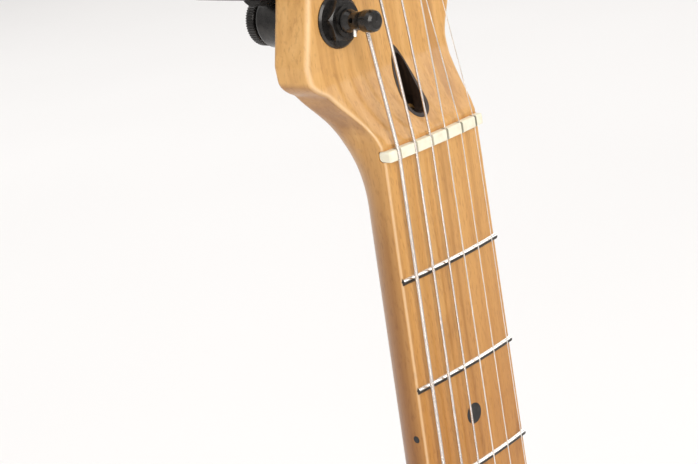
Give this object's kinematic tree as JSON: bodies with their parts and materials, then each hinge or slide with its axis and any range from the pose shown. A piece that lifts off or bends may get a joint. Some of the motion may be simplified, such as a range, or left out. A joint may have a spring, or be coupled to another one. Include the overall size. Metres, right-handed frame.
{
  "type": "electric guitar",
  "caption": "Solid-body electric guitar with a bolt-on maple neck, six-in-line locking tuners, fixed bridge, pickups and controls.",
  "frame": {"origin": "middle of the neck's section at the front of the nut, where a neck yoke holds the guitar", "axes": "+Z along the neck to the headstock, the face looks along -Y, +X is the treble side"},
  "size_m": [0.3159, 0.0687, 0.9943],
  "materials": {
    "body_finish": "gloss lacquer, amber in the middle and dark brown at the edge",
    "maple": "satin-gloss amber lacquer",
    "walnut": "satin",
    "plain_steel": "plain",
    "bone": "polished bone",
    "fret_wire": "polished nickel silver",
    "dot_black": "gloss",
    "black_hardware": "satin black plate",
    "string_wire": "wound steel",
    "guard_black": "gloss",
    "cover_black": "satin",
    "fibre_black": "matte",
    "coil_wire": "enamelled copper",
    "wire_cloth": "insulated",
    "nickel": "nickel plate",
    "knob_black": "satin-gloss"
  },
  "bodies": {
    "guitar": {"body_wood": "body_finish", "neck": "maple", "truss_rod_stripe": "walnut", "truss_rod": "plain_steel", "truss_rod_liner": "walnut", "nut": "bone", "frets": "fret_wire", "position_dots": "dot_black", "neck_plate": "black_hardware", "neck_screws": "black_hardware", "string_tree": "black_hardware", "headstock_screws": "black_hardware", "wound_strings": "string_wire", "plain_strings": "string_wire", "pickguard": "guard_black", "body_screws": "black_hardware", "pickup_covers": "cover_black", "pickup_bobbins": "fibre_black", "pickup_coils": "coil_wire", "pickup_poles": "plain_steel", "pickup_screws": "black_hardware", "adjuster_springs": "nickel", "bridge_plate": "black_hardware", "mounting_screws": "black_hardware", "saddles": "black_hardware", "saddle_screws": "black_hardware", "string_ferrules": "black_hardware", "control_pots": "plain_steel", "selector_switch": "plain_steel", "wiring": "wire_cloth", "output_jack": "nickel", "jack_plate": "black_hardware", "strap_buttons": "black_hardware", "tuner_housings": "black_hardware", "tuner_washers": "black_hardware", "tuner_bushings": "black_hardware"},
    "truss_nut": {"truss_rod_nut": "black_hardware"},
    "volume": {"volume_knob": "knob_black", "volume_pot_shaft": "plain_steel"},
    "tone": {"tone_knob": "knob_black", "tone_pot_shaft": "plain_steel"},
    "selector": {"selector_lever": "black_hardware"},
    "tuner_post_6": {"tuner_post_6": "black_hardware"},
    "tuner_button_6": {"tuner_button_6": "black_hardware"},
    "lock_wheel_6": {"lock_wheel_6": "black_hardware"},
    "tuner_post_5": {"tuner_post_5": "black_hardware"},
    "tuner_button_5": {"tuner_button_5": "black_hardware"},
    "lock_wheel_5": {"lock_wheel_5": "black_hardware"},
    "tuner_post_4": {"tuner_post_4": "black_hardware"},
    "tuner_button_4": {"tuner_button_4": "black_hardware"},
    "lock_wheel_4": {"lock_wheel_4": "black_hardware"},
    "tuner_post_3": {"tuner_post_3": "black_hardware"},
    "tuner_button_3": {"tuner_button_3": "black_hardware"},
    "lock_wheel_3": {"lock_wheel_3": "black_hardware"},
    "tuner_post_2": {"tuner_post_2": "black_hardware"},
    "tuner_button_2": {"tuner_button_2": "black_hardware"},
    "lock_wheel_2": {"lock_wheel_2": "black_hardware"},
    "tuner_post_1": {"tuner_post_1": "black_hardware"},
    "tuner_button_1": {"tuner_button_1": "black_hardware"},
    "lock_wheel_1": {"lock_wheel_1": "black_hardware"}
  },
  "joints": [
    {"name": "button_6_turn", "type": "hinge", "parent": "guitar", "child": "tuner_button_6", "pos_m": [-0.03875, 0.0207, 0.05474], "axis": [-0.9703, 0, 0.2419], "continuous": true},
    {"name": "post_6_turn", "type": "hinge", "parent": "guitar", "child": "tuner_post_6", "pos_m": [-0.0214, 0.0149, 0.04165], "axis": [0, -1, 0], "continuous": true},
    {"name": "lock_wheel_6_turn", "type": "hinge", "parent": "tuner_post_6", "child": "lock_wheel_6", "pos_m": [-0.0214, 0.0269, 0.04165], "axis": [0, -1, 0], "range_deg": [-540, 0]},
    {"name": "button_5_turn", "type": "hinge", "parent": "guitar", "child": "tuner_button_5", "pos_m": [-0.03263, 0.0207, 0.07928], "axis": [-0.9703, 0, 0.2419], "continuous": true},
    {"name": "post_5_turn", "type": "hinge", "parent": "guitar", "child": "tuner_post_5", "pos_m": [-0.01528, 0.0149, 0.0662], "axis": [0, -1, 0], "continuous": true},
    {"name": "lock_wheel_5_turn", "type": "hinge", "parent": "tuner_post_5", "child": "lock_wheel_5", "pos_m": [-0.01528, 0.0269, 0.0662], "axis": [0, -1, 0], "range_deg": [-540, 0]},
    {"name": "button_4_turn", "type": "hinge", "parent": "guitar", "child": "tuner_button_4", "pos_m": [-0.02651, 0.0207, 0.10383], "axis": [-0.9703, 0, 0.2419], "continuous": true},
    {"name": "post_4_turn", "type": "hinge", "parent": "guitar", "child": "tuner_post_4", "pos_m": [-0.00916, 0.0149, 0.09075], "axis": [0, -1, 0], "continuous": true},
    {"name": "lock_wheel_4_turn", "type": "hinge", "parent": "tuner_post_4", "child": "lock_wheel_4", "pos_m": [-0.00916, 0.0269, 0.09075], "axis": [0, -1, 0], "range_deg": [-540, 0]},
    {"name": "button_3_turn", "type": "hinge", "parent": "guitar", "child": "tuner_button_3", "pos_m": [-0.02039, 0.0207, 0.12838], "axis": [-0.9703, 0, 0.2419], "continuous": true},
    {"name": "post_3_turn", "type": "hinge", "parent": "guitar", "child": "tuner_post_3", "pos_m": [-0.00304, 0.0149, 0.11529], "axis": [0, -1, 0], "continuous": true},
    {"name": "lock_wheel_3_turn", "type": "hinge", "parent": "tuner_post_3", "child": "lock_wheel_3", "pos_m": [-0.00304, 0.0269, 0.11529], "axis": [0, -1, 0], "range_deg": [-540, 0]},
    {"name": "button_2_turn", "type": "hinge", "parent": "guitar", "child": "tuner_button_2", "pos_m": [-0.01427, 0.0207, 0.15293], "axis": [-0.9703, 0, 0.2419], "continuous": true},
    {"name": "post_2_turn", "type": "hinge", "parent": "guitar", "child": "tuner_post_2", "pos_m": [0.00308, 0.0149, 0.13984], "axis": [0, -1, 0], "continuous": true},
    {"name": "lock_wheel_2_turn", "type": "hinge", "parent": "tuner_post_2", "child": "lock_wheel_2", "pos_m": [0.00308, 0.0269, 0.13984], "axis": [0, -1, 0], "range_deg": [-540, 0]},
    {"name": "button_1_turn", "type": "hinge", "parent": "guitar", "child": "tuner_button_1", "pos_m": [-0.00815, 0.0207, 0.17748], "axis": [-0.9703, 0, 0.2419], "continuous": true},
    {"name": "post_1_turn", "type": "hinge", "parent": "guitar", "child": "tuner_post_1", "pos_m": [0.0092, 0.0149, 0.16439], "axis": [0, -1, 0], "continuous": true},
    {"name": "lock_wheel_1_turn", "type": "hinge", "parent": "tuner_post_1", "child": "lock_wheel_1", "pos_m": [0.0092, 0.0269, 0.16439], "axis": [0, -1, 0], "range_deg": [-540, 0]},
    {"name": "truss_nut_turn", "type": "hinge", "parent": "guitar", "child": "truss_nut", "pos_m": [0, 0.001, 0.003], "axis": [0, 0, 1], "range_deg": [-180, 180]},
    {"name": "volume_turn", "type": "hinge", "parent": "guitar", "child": "volume", "pos_m": [0.078, -0.0048, -0.606], "axis": [0, -1, 0], "range_deg": [-150, 150]},
    {"name": "tone_turn", "type": "hinge", "parent": "guitar", "child": "tone", "pos_m": [0.098, -0.0048, -0.66], "axis": [0, -1, 0], "range_deg": [-150, 150]},
    {"name": "selector_tilt", "type": "hinge", "parent": "guitar", "child": "selector", "pos_m": [0.072, 0.0095, -0.556], "axis": [0.9511, 0, 0.309], "range_deg": [-20, 20]}
  ],
  "couplings": [
    {"joint": "post_6_turn", "follows": "button_6_turn", "ratio": 0.055556},
    {"joint": "post_5_turn", "follows": "button_5_turn", "ratio": 0.055556},
    {"joint": "post_4_turn", "follows": "button_4_turn", "ratio": 0.055556},
    {"joint": "post_3_turn", "follows": "button_3_turn", "ratio": 0.055556},
    {"joint": "post_2_turn", "follows": "button_2_turn", "ratio": 0.055556},
    {"joint": "post_1_turn", "follows": "button_1_turn", "ratio": 0.055556}
  ]
}
